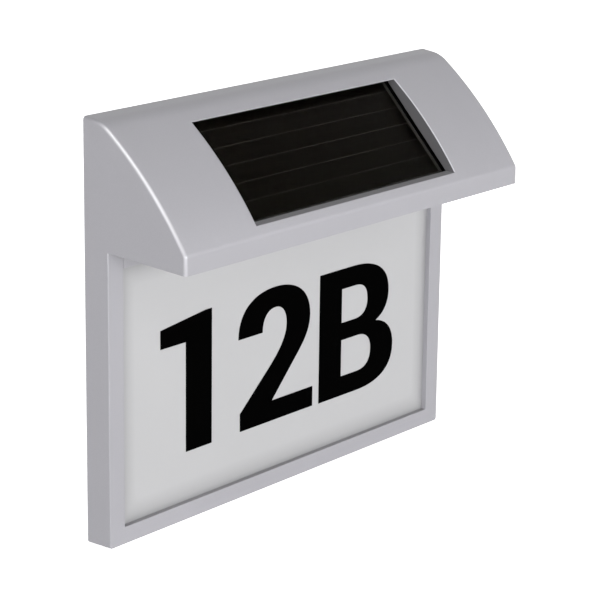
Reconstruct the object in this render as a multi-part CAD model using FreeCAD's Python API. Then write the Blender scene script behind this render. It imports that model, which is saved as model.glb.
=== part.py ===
import FreeCAD, Part
import math
import os

# Solar house number sign that hangs on a wall. A silver-painted front moulding carries a hood with a
# solar module over a framed light box, whose opal panel shows the number.
#
# Sizes are in millimetres. Everything is drawn by its distance x across the sign from the middle, its
# depth out from the wall and its height above the bottom edge. at() turns these into the part's frame:
# X to the right, -Y out of the wall, Z up, with the origin in the middle of the flat rear.

# --- overall sizes -------------------------------------------------------------------------------
sign_width = 200.0
sign_height = 156.8
frame_depth = 11.2
hood_depth = 47.3
wall = 2.0                  # shell thickness of the front moulding
fit_gap = 0.2               # clearance round a piece that sits inside a moulding
touch_gap = 0.05            # radial clearance of a screw in its pilot hole

# --- frame round the number panel ----------------------------------------------------------------
side_border = 7.8
bottom_border = 6.5
window_drop = 4.7           # of the window's top under the hood's lower front edge
corner_radius = 2.0         # lower corners, seen from the front
edge_radius = 0.8           # rounding along the frame's front edges

# --- hood ----------------------------------------------------------------------------------------
hood_rise = 49.3            # of the top above the hood's lower front edge
eaves_rise = 2.3            # the hood's side edges climb this much from the lip to the frame
lip_height = 7.0            # flat front lip, up to where the curve would meet it
roof_depth = 8.4            # flat top, out to where the curve would meet it
roof_fall = 0.12            # drop of the flat top per unit of depth
curve_radius = 154.0
brow_radius = 14.0
lip_radius = 3.0
end_radius = 1.4            # rounding along the hood's end edges

# --- light box, from the flange to the back plate ------------------------------------------------
flange_thickness = 2.2      # the panel lies this far behind the frame's face
panel_thickness = 2.0
panel_overlap = 3.0         # how far the panel runs on above the window
guide_thickness = 3.0
reflector_thickness = 0.4
plate_thickness = 2.0
rib_width = 1.6
rib_columns = 5
rib_rows = 3

# --- LED strip over the light guide --------------------------------------------------------------
led_count = 4
led_pitch = 35.0
led_length = 3.5
led_width = 2.8
led_height = 1.9
led_gap = 0.3
led_lead_shift = 1.2        # of the lead's solder joint in front of the LEDs
led_board_length = 124.0
led_board_width = 5.4
board_thickness = 1.6
shelf_length = 150.0
shelf_thickness = 1.6
flange_rise = 1.2           # the frame's flange stands this far above the LED board

# --- solar module in its recess ------------------------------------------------------------------
solar_width = 120.0         # recess mouth across the hood
solar_top_depth = 14.7      # depth from the wall of the recess's upper rim
solar_low_margin = 2.3      # of its lower rim behind the hood's front
recess_depth = 3.0          # from the chord between those rims to the glass
tub_wall = 1.6
glass_gap = 0.5
glass_thickness = 1.8
film_thickness = 0.2
film_margin = 3.2           # of the film inside the glass's ends
film_edge = 1.0             # and inside its upper and lower edges
film_gap = 0.4
film_count = 6
film_pitch = 7.65
film_first = 2.4            # down the slope from the recess's upper rim to the first gap
tape_thickness = 0.5
tape_width = 3.0
lead_hole_place = 30.0      # down the slope from the recess's upper rim
lead_hole_gap = 1.0         # clearance round the ribbon lead in its hole

# --- hood base -----------------------------------------------------------------------------------
base_recess = 3.5           # from the lip's lower edge up to the base
base_thickness = 2.0
base_screw_side = 16.7      # from the sign's end
base_screw_margin = 6.0     # and behind the hood's front
base_hook_x = 60.0          # two hooks at the rear edge lie on the frame's flange
base_hook_width = 12.0
base_hook_reach = 1.8

# --- batteries and their door --------------------------------------------------------------------
cell_radius = 7.25
cell_length = 50.5
cell_nub_length = 1.5
cell_nub_radius = 2.75
cell_count = 2
cell_depth = 11.5           # of the cells' axis from the wall
cell_rise = 20.0            # of the cells' axis above the hood's lower edge
cell_gap = 0.4
spring_length = 4.0
contact_thickness = 0.5
contact_dimple = 1.0
trough_wall = 1.5
door_length = 132.0
door_height = 22.0
door_thickness = 2.4
door_sink = 0.2             # the door lies this far under the rear face
door_rib_width = 1.5
door_rib_x = 25.0
seal_thickness = 0.8
seal_width = 2.4
surround_border = 2.6
surround_floor = 1.8
door_screw_x = 61.8
door_travel_clearance = 0.1

# --- hanging holes -------------------------------------------------------------------------------
keyhole_side = 19.0         # from the sign's end
keyhole_entry_rise = 18.0   # of its round entry above the hood's lower edge
keyhole_rise = 9.0
keyhole_entry_radius = 4.25
keyhole_slot_radius = 2.2
pocket_depth = 6.0
pocket_border = 0.5         # room beside the widest screw head
pocket_wall = 1.5

# --- screws --------------------------------------------------------------------------------------
case_screw_side = 6.5       # from the sign's end
case_screw_low_rise = 10.0  # above the hood's lower edge
case_screw_high_drop = 10.5 # under the sign's top
case_boss_radius = 3.2
case_boss_length = 10.0
rail_width = 8.6            # thicker strip of the back plate that the case screws go through
rail_margin = 4.5           # and how far it runs on past the screws
well_floor = 2.0
boss_rib = 2.0
head_sink = 0.4
case_screw = {"head_r": 2.5, "head_h": 1.8, "shank_r": 1.4, "length": 10.0}
base_screw = {"head_r": 2.4, "head_h": 1.4, "shank_r": 1.3, "length": 8.0}
door_screw = {"head_r": 2.1, "head_h": 1.2, "shank_r": 1.1, "length": 7.5}
board_screw = {"head_r": 1.9, "head_h": 1.3, "shank_r": 0.9, "length": 4.6}
head_gap = 0.3              # radial clearance of a screw head in its well
shank_gap = 0.2             # radial clearance of a shank in the piece it clamps
pilot_extra = 1.0           # a pilot hole is this much deeper than its screw

# --- latch tongues at the bottom -----------------------------------------------------------------
tongue_x = 50.0
tongue_width = 12.0
tongue_thickness = 1.2
tongue_inset = 0.5
tongue_reach = 1.6

# --- control board on the hood base --------------------------------------------------------------
board_length = 60.0
board_rear = 14.5
board_front_margin = 12.8   # of the board's front edge behind the hood's front
board_rail_height = 2.0
board_rail_width = 4.6
board_rail_inset = 3.5      # from the board's ends to the middle of each rail
board_screw_inset = 4.0     # from the board's rear and front edges
board_parts_place = 0.6     # share of the board's width in front of its rear edge
board_blocks = [            # middle x, length, width and height of the chip, the diode and the coil
    (-11.5, 5.0, 4.0, 1.6),
    (-5.0, 2.4, 1.6, 1.1),
    (9.0, 6.0, 6.0, 4.0),
]
capacitor_x = 17.5
capacitor_radius = 2.5
capacitor_height = 6.5

# --- slide switch --------------------------------------------------------------------------------
switch_side = 30.0          # from the sign's end
switch_depth = 28.0
switch_travel = 3.0
switch_length = 14.0
switch_width = 7.0
switch_height = 5.0
slider_foot_length = 6.0
slider_foot_width = 3.4
slider_foot_height = 1.8
slider_stem_length = 3.0
slider_stem_width = 2.0
knob_length = 5.0
knob_width = 3.4
knob_height = 1.6
knob_grooves = 3
knob_groove_width = 0.5
knob_groove_depth = 0.4
slider_gap = 0.3

# --- leads ---------------------------------------------------------------------------------------
lead_radius = 0.5
ribbon_width = 2.2          # two cores side by side
ribbon_thickness = 0.9
solar_lead_drop = 6.0
battery_lead_depth = 20.0
battery_lead_reach = 6.0
tail_length = 3.0
tail_width = 3.0
tail_offset = 4.5           # of the contact tails from the cells' axis, both forward and down

# --- worked out from the sizes above -------------------------------------------------------------
half_width = sign_width / 2
inner_half = half_width - wall
hood_edge_height = sign_height - hood_rise
eaves_height = hood_edge_height + eaves_rise
window_half = half_width - side_border
window_top = hood_edge_height - window_drop
flange_rear = frame_depth - flange_thickness
panel_rear = flange_rear - panel_thickness
guide_rear = panel_rear - guide_thickness
reflector_rear = guide_rear - reflector_thickness
panel_top = window_top + panel_overlap
led_board_bottom = panel_top + led_gap + led_height
led_board_top = led_board_bottom + board_thickness
led_depth = guide_rear + guide_thickness / 2
led_lead_depth = led_depth + led_lead_shift
flange_top = led_board_top + flange_rise
base_bottom = hood_edge_height + base_recess
base_top = base_bottom + base_thickness
base_screw_x = half_width - base_screw_side
base_screw_depth = hood_depth - base_screw_margin
solar_low_depth = hood_depth - solar_low_margin
case_screw_x = half_width - case_screw_side
case_screw_low = hood_edge_height + case_screw_low_rise
case_screw_high = sign_height - case_screw_high_drop
keyhole_x = half_width - keyhole_side
keyhole_entry_height = hood_edge_height + keyhole_entry_rise
switch_x = half_width - switch_side
board_width = hood_depth - board_front_margin - board_rear
board_bottom = base_top + board_rail_height
board_top = board_bottom + board_thickness
board_middle = board_bottom + board_thickness / 2
cell_height = hood_edge_height + cell_rise
bay_half = (cell_count * cell_length + spring_length + contact_dimple) / 2 + contact_thickness
cells_right = bay_half - contact_thickness - contact_dimple
trough_radius = cell_radius + cell_gap
seal_front = door_sink + door_thickness + seal_thickness
surround_front = seal_front + surround_floor
well_depth = head_sink + case_screw["head_h"]
boss_start = well_depth + well_floor


def at(x, depth, height):
    return FreeCAD.Vector(x, -depth, height - sign_height / 2)


ACROSS = FreeCAD.Vector(1, 0, 0)
OUTWARD = FreeCAD.Vector(0, -1, 0)
UPWARD = FreeCAD.Vector(0, 0, 1)


# --- shapes --------------------------------------------------------------------------------------
def block(x0, x1, depth0, depth1, height0, height1):
    return Part.makeBox(x1 - x0, depth1 - depth0, height1 - height0, at(x0, depth1, height0))


def rod_out(x, height, radius, depth0, depth1):
    return Part.makeCylinder(radius, depth1 - depth0, at(x, depth0, height), OUTWARD)


def rod_up(x, depth, radius, height0, height1):
    return Part.makeCylinder(radius, height1 - height0, at(x, depth, height0), UPWARD)


def rod_across(depth, height, radius, x0, x1):
    return Part.makeCylinder(radius, x1 - x0, at(x0, depth, height), ACROSS)


def prism_across(points, x0, x1):
    """A solid whose section is a polygon of (depth, height) points."""
    corners = [at(x0, depth, height) for depth, height in points]
    section = Part.Face(Part.makePolygon(corners + corners[:1]))
    return section.extrude(FreeCAD.Vector(x1 - x0, 0, 0))


def mirrored(shape):
    return shape.mirror(FreeCAD.Vector(0, 0, 0), ACROSS)


def joined(shapes):
    return shapes[0].fuse(shapes[1:]).removeSplitter() if len(shapes) > 1 else shapes[0]


def group(shapes):
    return Part.makeCompound(shapes)


def lead(points, outline):
    """A lead along straight runs, with arcs as large as its runs allow; outline is its section."""
    edges, last = [], points[0]
    for before, corner, after in zip(points, points[1:], points[2:]):
        into, out = corner - before, after - corner
        turn = into.getAngle(out)
        shorter = min(into.Length, out.Length)
        reach = 0.45 * shorter
        into.normalize()
        out.normalize()
        start, end = corner - into * reach, corner + out * reach
        bend = reach / math.tan(turn / 2)
        inward = (out - into).normalize()
        middle = corner + inward * (bend / math.cos(turn / 2) - bend)
        edges.append(Part.makeLine(last, start))
        edges.append(Part.Arc(start, middle, end).toShape())
        last = end
    edges.append(Part.makeLine(last, points[-1]))
    first = (points[1] - points[0]).normalize()
    across = UPWARD if abs(first.x) > 0.5 else ACROSS
    corners = [points[0] + across * a + first.cross(across) * b for a, b in outline]
    section = Part.makePolygon(corners + corners[:1])
    return Part.Wire(edges).makePipeShell([section], True, False)


RIBBON = [
    (-ribbon_width / 2, -ribbon_thickness / 2), (ribbon_width / 2, -ribbon_thickness / 2),
    (ribbon_width / 2, ribbon_thickness / 2), (-ribbon_width / 2, ribbon_thickness / 2),
]
WIRE = [
    (lead_radius * math.cos(i * math.pi / 4), lead_radius * math.sin(i * math.pi / 4)) for i in range(8)
]


# --- the hood's section --------------------------------------------------------------------------
def curve_centre():
    """Centre of the hood's big curve, which passes the ends of the flat top and of the lip."""
    top = (roof_depth, sign_height - roof_fall * roof_depth)
    low = (hood_depth, hood_edge_height + lip_height)
    run, drop = low[0] - top[0], low[1] - top[1]
    chord = math.hypot(run, drop)
    back = math.sqrt(curve_radius ** 2 - (chord / 2) ** 2)
    middle = ((top[0] + low[0]) / 2, (top[1] + low[1]) / 2)
    return middle[0] + back * drop / chord, middle[1] - back * run / chord


CURVE = curve_centre()


def on_curve(depth):
    """Height of the hood's outer curve at a depth from the wall."""
    return CURVE[1] + math.sqrt(curve_radius ** 2 - (depth - CURVE[0]) ** 2)


def arc_edge(centre, radius, start, end):
    """An arc from the angle start to the angle end about (depth, height)."""
    angles = (start, (start + end) / 2, end)
    points = [at(0, centre[0] + radius * math.cos(a), centre[1] + radius * math.sin(a)) for a in angles]
    return Part.Arc(*points).toShape()


def hood_outline(inset, low_points):
    """The face of the hood's section, inset from the outside, closed through the low_points."""
    big = curve_radius - inset
    brow, lip = brow_radius - inset, lip_radius - inset
    lip_face = hood_depth - inset
    slope = math.atan(roof_fall)
    normal = (math.sin(slope), math.cos(slope))
    roof_rear = sign_height - inset / math.cos(slope)

    # the brow's centre lies under the flat top and inside the big curve
    start = (-normal[0] * brow, roof_rear - normal[1] * brow)
    along = (normal[1], -normal[0])
    to_start = (start[0] - CURVE[0], start[1] - CURVE[1])
    half = to_start[0] * along[0] + to_start[1] * along[1]
    rest = to_start[0] ** 2 + to_start[1] ** 2 - (big - brow) ** 2
    run = -half + math.sqrt(half ** 2 - rest)
    brow_centre = (start[0] + along[0] * run, start[1] + along[1] * run)
    brow_end = math.atan2(brow_centre[1] - CURVE[1], brow_centre[0] - CURVE[0])
    roof_front = (brow_centre[0] + normal[0] * brow, brow_centre[1] + normal[1] * brow)

    lip_centre_depth = lip_face - lip
    lip_rise = math.sqrt((big - lip) ** 2 - (lip_centre_depth - CURVE[0]) ** 2)
    lip_centre = (lip_centre_depth, CURVE[1] + lip_rise)
    lip_start = math.atan2(lip_rise, lip_centre_depth - CURVE[0])

    corners = [at(0, lip_face, lip_centre[1])]
    corners += [at(0, depth, height) for depth, height in low_points]
    corners += [at(0, 0, roof_rear), at(0, *roof_front)]
    edges = [Part.makeLine(a, b) for a, b in zip(corners, corners[1:])]
    edges += [
        arc_edge(brow_centre, brow, math.pi / 2 - slope, brow_end),
        arc_edge(CURVE, big, brow_end, lip_start),
        arc_edge(lip_centre, lip, lip_start, 0),
    ]
    return Part.Face(Part.Wire(Part.__sortEdges__(edges)))


def hood_prism(inset, half, low_points):
    face = hood_outline(inset, low_points)
    face.translate(FreeCAD.Vector(-half, 0, 0))
    return face.extrude(FreeCAD.Vector(2 * half, 0, 0))


def outer_block(inset):
    """The whole sign as one solid block, inset from the outside."""
    low_points = [
        (hood_depth - inset, hood_edge_height),
        (frame_depth, eaves_height),
        (frame_depth, 0),
        (0, 0),
    ]
    return hood_prism(inset, half_width - inset, low_points)


# --- the solar recess, in a frame that lies on the chord between its rims --------------------------
SOLAR_TOP = (solar_top_depth, on_curve(solar_top_depth))
SOLAR_LOW = (solar_low_depth, on_curve(solar_low_depth))
SLOPE_LENGTH = math.hypot(SOLAR_LOW[0] - SOLAR_TOP[0], SOLAR_LOW[1] - SOLAR_TOP[1])
DOWN_SLOPE = (
    (SOLAR_LOW[0] - SOLAR_TOP[0]) / SLOPE_LENGTH,
    (SOLAR_LOW[1] - SOLAR_TOP[1]) / SLOPE_LENGTH,
)
OFF_SLOPE = (-DOWN_SLOPE[1], DOWN_SLOPE[0])


def on_slope(down, off):
    """(depth, height) of a point down the chord from the upper rim and off it, outwards."""
    return (
        SOLAR_TOP[0] + DOWN_SLOPE[0] * down + OFF_SLOPE[0] * off,
        SOLAR_TOP[1] + DOWN_SLOPE[1] * down + OFF_SLOPE[1] * off,
    )


def slope_prism(points, half):
    return prism_across([on_slope(down, off) for down, off in points], -half, half)


def slope_plate(down0, down1, off0, off1, half):
    return slope_prism([(down0, off0), (down1, off0), (down1, off1), (down0, off1)], half)


glass_front = -recess_depth
glass_rear = glass_front - glass_thickness
film_rear = glass_rear - film_thickness
recess_floor = film_rear - tape_thickness
tub_underside = recess_floor - tub_wall
recess_shift = recess_depth * DOWN_SLOPE[0] / OFF_SLOPE[0]  # both long walls run straight back from their rims
floor_start = -recess_shift
floor_end = SLOPE_LENGTH - recess_shift
above_hood = 10.0           # cutters run this far past the hood's surface


def solar_tub():
    return slope_plate(floor_start - tub_wall, floor_end + tub_wall, tub_underside, above_hood,
                       solar_width / 2 + tub_wall)


def solar_recess():
    section = [
        (0, above_hood), (0, 0), (floor_start, glass_front), (floor_start, recess_floor),
        (floor_end, recess_floor), (floor_end, glass_front), (SLOPE_LENGTH, 0), (SLOPE_LENGTH, above_hood),
    ]
    return slope_prism(section, solar_width / 2)


# --- screws and what they need ---------------------------------------------------------------------
def screw(place, direction, sizes):
    """A screw whose head bears at place and whose shank runs along direction."""
    head = Part.makeCylinder(sizes["head_r"], sizes["head_h"], place - direction * sizes["head_h"], direction)
    shank = Part.makeCylinder(sizes["shank_r"], sizes["length"], place, direction)
    return head.fuse(shank)


def pilot(place, direction, sizes):
    return Part.makeCylinder(sizes["shank_r"] + touch_gap, sizes["length"] + pilot_extra, place, direction)


CASE_SCREWS = [(x, height) for x in (-case_screw_x, case_screw_x) for height in (case_screw_low, case_screw_high)]
BASE_SCREWS = [(x, base_screw_depth) for x in (-base_screw_x, base_screw_x)]
board_rail_x = board_length / 2 - board_rail_inset
BOARD_SCREWS = [
    (-board_rail_x, board_rear + board_screw_inset),
    (board_rail_x, board_rear + board_width - board_screw_inset),
]


# --- front housing -----------------------------------------------------------------------------------
def near(value, target):
    return abs(value - target) < 1e-3


def hood_end_edge(box):
    on_end = near(abs(box.Center.x), half_width) and near(box.XLength, 0)
    roof_or_lip = box.YMin < -frame_depth - 1 and box.ZMin + sign_height / 2 > hood_edge_height - 1
    underside = near(box.ZMax + sign_height / 2, eaves_height)
    top_edge = near(box.ZMax, sign_height / 2) and box.YLength > 1
    return on_end and (roof_or_lip or top_edge) and not underside


def frame_front_edge(box):
    in_front = near(box.YMin, -frame_depth) and near(box.YMax, -frame_depth)
    return in_front and box.ZMin + sign_height / 2 < eaves_height - 1


def rounded_block():
    """The outside of the moulding, with its rounded corners and edges."""
    body = outer_block(0)
    feet = [
        edge for edge in body.Edges
        if near(edge.BoundBox.YLength, frame_depth) and near(edge.BoundBox.ZMax, -sign_height / 2)
    ]
    body = body.makeFillet(corner_radius, feet)
    for radius, wanted in ((end_radius, hood_end_edge), (edge_radius, frame_front_edge)):
        body = body.makeFillet(radius, [edge for edge in body.Edges if wanted(edge.BoundBox)])
    return body


def housing_hollow():
    light_box = block(-inner_half, inner_half, 0, flange_rear, wall, flange_top + 1)
    hood = hood_prism(wall, inner_half, [(hood_depth - wall, flange_top), (0, flange_top)])
    mouth = block(-inner_half, inner_half, frame_depth, hood_depth - wall, hood_edge_height - 1, flange_top)
    return joined([light_box, hood, mouth])


def housing_bosses(skin):
    """Screw bosses on the side walls and pillars for the hood base, all merging into the shell."""
    bosses = []
    for x, height in CASE_SCREWS:
        side = math.copysign(1, x)
        low, high = sorted((x, side * (half_width - wall / 2)))
        length = boss_start + case_boss_length
        bosses.append(rod_out(x, height, case_boss_radius, boss_start, length))
        bosses.append(block(low, high, boss_start, length, height - boss_rib / 2, height + boss_rib / 2))
    for x, depth in BASE_SCREWS:
        bosses.append(rod_up(x, depth, case_boss_radius, base_top, sign_height))
    return [boss.common(skin) for boss in bosses]


def front_housing():
    body = rounded_block()
    shell = body.cut(housing_hollow())
    window = block(-window_half, window_half, flange_rear - 1, frame_depth + 1, bottom_border, window_top)
    shell = shell.cut(window)
    skin = outer_block(wall / 2)
    shell = joined([shell, solar_tub().common(body)] + housing_bosses(skin))
    cutters = [solar_recess()]
    cutters.append(slope_lead_hole())
    for x, height in CASE_SCREWS:
        cutters.append(pilot(at(x, boss_start - well_floor, height), OUTWARD, case_screw))
    for x, depth in BASE_SCREWS:
        cutters.append(pilot(at(x, depth, base_bottom), UPWARD, base_screw))
    for x in (-tongue_x, tongue_x):
        half = tongue_width / 2 + fit_gap
        cutters.append(block(x - half, x + half, tongue_inset - fit_gap,
                             tongue_inset + tongue_thickness + fit_gap, -1, wall + 1))
    return shell.cut(cutters)


def slope_lead_hole():
    rise, half = ribbon_thickness / 2 + lead_hole_gap, ribbon_width / 2 + lead_hole_gap
    return slope_plate(lead_hole_place - rise, lead_hole_place + rise, tub_underside - 1, recess_floor + 1, half)


# --- light box ---------------------------------------------------------------------------------------
def number_panel():
    half = inner_half - fit_gap
    return block(-half, half, panel_rear, flange_rear, wall + fit_gap, panel_top)


def light_guide():
    half = inner_half - fit_gap
    return block(-half, half, guide_rear, panel_rear, wall + fit_gap, panel_top)


def reflector_sheet():
    half = inner_half - fit_gap
    return block(-half, half, reflector_rear, guide_rear, wall + fit_gap, panel_top)


def back_plate():
    half = inner_half - fit_gap
    low = wall + fit_gap
    roof = sign_height - wall / math.cos(math.atan(roof_fall)) - roof_fall * plate_thickness - fit_gap
    pieces = [block(-half, half, 0, plate_thickness, low, roof)]

    # a grid of ribs presses the reflector, light guide and panel against the frame
    for i in range(rib_columns):
        x = -half + rib_width + (2 * half - 2 * rib_width) * i / (rib_columns - 1)
        pieces.append(block(x - rib_width / 2, x + rib_width / 2, 0, reflector_rear, low + rib_width, panel_top))
    for i in range(rib_rows):
        height = low + rib_width + (panel_top - low - 2 * rib_width) * i / (rib_rows - 1)
        pieces.append(block(-half + rib_width, half - rib_width, 0, reflector_rear,
                            height - rib_width / 2, height + rib_width / 2))

    # the shelf carries the LED board over the light guide's upper edge
    pieces.append(block(-shelf_length / 2, shelf_length / 2, 0, flange_rear - fit_gap,
                        led_board_top, led_board_top + shelf_thickness))

    # battery trough with the seat of its door
    outer = trough_radius + trough_wall
    end = bay_half + trough_wall
    pieces.append(rod_across(cell_depth, cell_height, outer, -end, end))
    pieces.append(block(-end, end, 0, cell_depth, cell_height - outer, cell_height + outer))
    seat_half = door_length / 2 + surround_border
    seat_rise = door_height / 2 + surround_border
    pieces.append(block(-seat_half, seat_half, 0, surround_front, cell_height - seat_rise, cell_height + seat_rise))
    door_boss_end = door_head_bearing() + door_screw["length"] + 2 * pilot_extra
    for x in (-door_screw_x, door_screw_x):
        pieces.append(block(x - case_boss_radius, x + case_boss_radius, 0, door_boss_end,
                            cell_height - case_boss_radius, cell_height + case_boss_radius))
    for x in (-keyhole_x, keyhole_x):
        pieces.append(keyhole_pocket(x, pocket_border + pocket_wall, 0, plate_thickness + pocket_depth + pocket_wall))
    for x0, x1 in ((-half, rail_width - half), (half - rail_width, half)):
        pieces.append(block(x0, x1, 0, boss_start, case_screw_low - rail_margin, case_screw_high + rail_margin))
    for x in (-tongue_x, tongue_x):
        pieces.append(block(x - tongue_width / 2, x + tongue_width / 2, tongue_inset,
                            tongue_inset + tongue_thickness, low - tongue_reach, low + 1))
    plate = joined(pieces)

    cutters = [rod_across(cell_depth, cell_height, trough_radius, -bay_half, bay_half)]
    cutters.append(block(-bay_half, bay_half, -1, cell_depth, cell_height - trough_radius,
                         cell_height + trough_radius))
    cutters.append(block(-door_length / 2, door_length / 2, -1, door_sink + door_thickness,
                         cell_height - door_height / 2, cell_height + door_height / 2))
    seal_half, seal_rise = bay_half + seal_width + fit_gap, trough_radius + seal_width + fit_gap
    cutters.append(block(-seal_half, seal_half, -1, seal_front, cell_height - seal_rise, cell_height + seal_rise))
    for x in (-door_screw_x, door_screw_x):
        cutters.append(pilot(at(x, door_head_bearing(), cell_height), OUTWARD, door_screw))
    for side in (-1, 1):
        x0, x1 = sorted((side * (bay_half - 1), side * (bay_half + trough_wall + 1)))
        cutters.append(block(x0, x1, cell_depth + tail_offset - contact_thickness / 2 - touch_gap,
                             cell_depth + tail_offset + contact_thickness / 2 + touch_gap,
                             cell_height - tail_offset - tail_width / 2 - touch_gap,
                             cell_height - tail_offset + tail_width / 2 + touch_gap))
    for x in (-keyhole_x, keyhole_x):
        cutters.append(keyhole_pocket(x, pocket_border, plate_thickness, plate_thickness + pocket_depth))
        cutters.append(keyhole_cut(x))
    for x, height in CASE_SCREWS:
        cutters.append(rod_out(x, height, case_screw["head_r"] + head_gap, -1, well_depth))
        cutters.append(rod_out(x, height, case_screw["shank_r"] + shank_gap, 0, boss_start + 1))
    across, through = ribbon_width / 2 + fit_gap, ribbon_thickness / 2 + fit_gap
    cutters.append(block(-across, across, led_lead_depth - through, led_lead_depth + through,
                         led_board_top - 1, led_board_top + shelf_thickness + 1))
    return plate.cut(cutters)


def keyhole_pocket(x, border, depth0, depth1):
    """A box round the keyhole, in which the hanging screw's head slides."""
    reach = keyhole_entry_radius + border
    return block(x - reach, x + reach, depth0, depth1,
                 keyhole_entry_height - reach, keyhole_entry_height + keyhole_rise + reach)


def keyhole_cut(x):
    top = keyhole_entry_height + keyhole_rise
    front = plate_thickness
    return joined([
        rod_out(x, keyhole_entry_height, keyhole_entry_radius, -1, front),
        rod_out(x, top, keyhole_slot_radius, -1, front),
        block(x - keyhole_slot_radius, x + keyhole_slot_radius, -1, front, keyhole_entry_height, top),
    ])


# --- battery compartment -------------------------------------------------------------------------------
def door_head_bearing():
    return door_sink + fit_gap + door_screw["head_h"]


def battery_door():
    half, rise = door_length / 2 - fit_gap, door_height / 2 - fit_gap
    rear, front = door_sink, door_sink + door_thickness
    pieces = [block(-half, half, rear, front, cell_height - rise, cell_height + rise)]
    rib_end = cell_depth - cell_radius - door_travel_clearance
    for x in (-door_rib_x, door_rib_x):
        pieces.append(block(x - door_rib_width / 2, x + door_rib_width / 2, rear, rib_end,
                            cell_height - cell_radius / 2, cell_height + cell_radius / 2))
    cutters = []
    for x in (-door_screw_x, door_screw_x):
        cutters.append(rod_out(x, cell_height, door_screw["head_r"] + head_gap, -1, door_head_bearing()))
        cutters.append(rod_out(x, cell_height, door_screw["shank_r"] + shank_gap, 0, front + 1))
    return joined(pieces).cut(cutters)


def door_seal():
    half, rise = bay_half + seal_width, trough_radius + seal_width
    rear, front = door_sink + door_thickness, seal_front
    ring = block(-half, half, rear, front, cell_height - rise, cell_height + rise)
    hole = block(-bay_half, bay_half, rear - 1, front + 1,
                 cell_height - trough_radius, cell_height + trough_radius)
    return ring.cut(hole)


def battery_cells():
    cells = []
    for i in range(cell_count):
        end = cells_right - i * cell_length
        can = rod_across(cell_depth, cell_height, cell_radius, end - cell_length, end - cell_nub_length)
        nub = rod_across(cell_depth, cell_height, cell_nub_radius, end - cell_nub_length, end)
        cells.append(can.fuse(nub))
    return group(cells)


def contact_tail(side):
    x0, x1 = sorted((side * (bay_half - contact_thickness), side * (bay_half + trough_wall + tail_length)))
    return block(x0, x1, cell_depth + tail_offset - contact_thickness / 2,
                 cell_depth + tail_offset + contact_thickness / 2,
                 cell_height - tail_offset - tail_width / 2, cell_height - tail_offset + tail_width / 2)


def battery_contacts():
    half = trough_radius * 0.7
    face = bay_half - contact_thickness
    plate = block(face, bay_half, cell_depth - half, cell_depth + half, cell_height - half, cell_height + half)
    dimple = rod_across(cell_depth, cell_height, cell_nub_radius, cells_right, face)
    positive = joined([plate, dimple, contact_tail(1)])

    tip = cells_right - cell_count * cell_length
    strip = contact_thickness
    leaf = Part.Face(Part.makePolygon([
        at(-face, cell_depth - half / 2, cell_height - half + strip),
        at(tip, cell_depth - half / 2, cell_height),
        at(-face, cell_depth - half / 2, cell_height + half - strip),
        at(-face, cell_depth - half / 2, cell_height + half - 2.5 * strip),
        at(tip - strip, cell_depth - half / 2, cell_height),
        at(-face, cell_depth - half / 2, cell_height - half + 2.5 * strip),
        at(-face, cell_depth - half / 2, cell_height - half + strip),
    ])).extrude(OUTWARD * half)
    negative = joined([mirrored(plate), leaf, contact_tail(-1)])
    return group([positive, negative])


# --- LED strip -----------------------------------------------------------------------------------------
def led_board():
    return block(-led_board_length / 2, led_board_length / 2, led_depth - led_board_width / 2,
                 led_depth + led_board_width / 2, led_board_bottom, led_board_top)


def leds():
    first = -led_pitch * (led_count - 1) / 2
    pieces = []
    for i in range(led_count):
        x = first + led_pitch * i
        pieces.append(block(x - led_length / 2, x + led_length / 2, led_depth - led_width / 2,
                            led_depth + led_width / 2, led_board_bottom - led_height, led_board_bottom))
    return group(pieces)


# --- solar module --------------------------------------------------------------------------------------
def solar_glass():
    return slope_plate(floor_start + glass_gap, floor_end - glass_gap, glass_rear, glass_front,
                       solar_width / 2 - glass_gap)


def solar_film():
    start, end = floor_start + glass_gap + film_edge, floor_end - glass_gap - film_edge
    half = solar_width / 2 - glass_gap - film_margin
    strips = []
    for i in range(film_count):
        down = max(start, film_first + film_pitch * (i - 1) + film_gap / 2)
        low = min(end, film_first + film_pitch * i - film_gap / 2)
        strips.append(slope_plate(down, low, film_rear, glass_rear, half))
    return group(strips)


def solar_tape():
    start, end, half = floor_start + glass_gap, floor_end - glass_gap, solar_width / 2 - glass_gap
    ring = slope_plate(start, end, recess_floor, glass_rear, half)
    inside = slope_plate(start + tape_width, end - tape_width, recess_floor - 1, film_rear, half - tape_width)
    pocket_start, pocket_end = start + film_edge - fit_gap, end - film_edge + fit_gap
    film_pocket = slope_plate(pocket_start, pocket_end, film_rear, glass_rear + 1, half - film_margin + fit_gap)
    return ring.cut([inside, film_pocket])


# --- hood base and what it carries -----------------------------------------------------------------------
def hood_base():
    half = inner_half - fit_gap
    plate = block(-half, half, frame_depth + fit_gap, hood_depth - wall - fit_gap, base_bottom, base_top)
    pieces = [plate]
    for x in (-board_rail_x, board_rail_x):
        pieces.append(block(x - board_rail_width / 2, x + board_rail_width / 2, board_rear, board_rear + board_width,
                            base_bottom, board_bottom))
    for x in (-base_hook_x, base_hook_x):
        pieces.append(block(x - base_hook_width / 2, x + base_hook_width / 2, frame_depth + fit_gap - base_hook_reach,
                            frame_depth + 2, flange_top + touch_gap, base_top))
    plate = joined(pieces)
    cutters = []
    for x, depth in BASE_SCREWS:
        cutters.append(rod_up(x, depth, base_screw["shank_r"] + shank_gap, base_bottom - 1, base_top + 1))
    for x, depth in BOARD_SCREWS:
        length = board_screw["length"] - board_thickness + touch_gap
        cutters.append(rod_up(x, depth, board_screw["shank_r"] + touch_gap, board_bottom - length, board_bottom + 1))
    slot = (slider_stem_length + switch_travel) / 2 + slider_gap
    across = slider_stem_width / 2 + slider_gap
    cutters.append(block(switch_x - slot, switch_x + slot, switch_depth - across, switch_depth + across,
                         base_bottom - 1, base_top + 1))
    return plate.cut(cutters)


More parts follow.
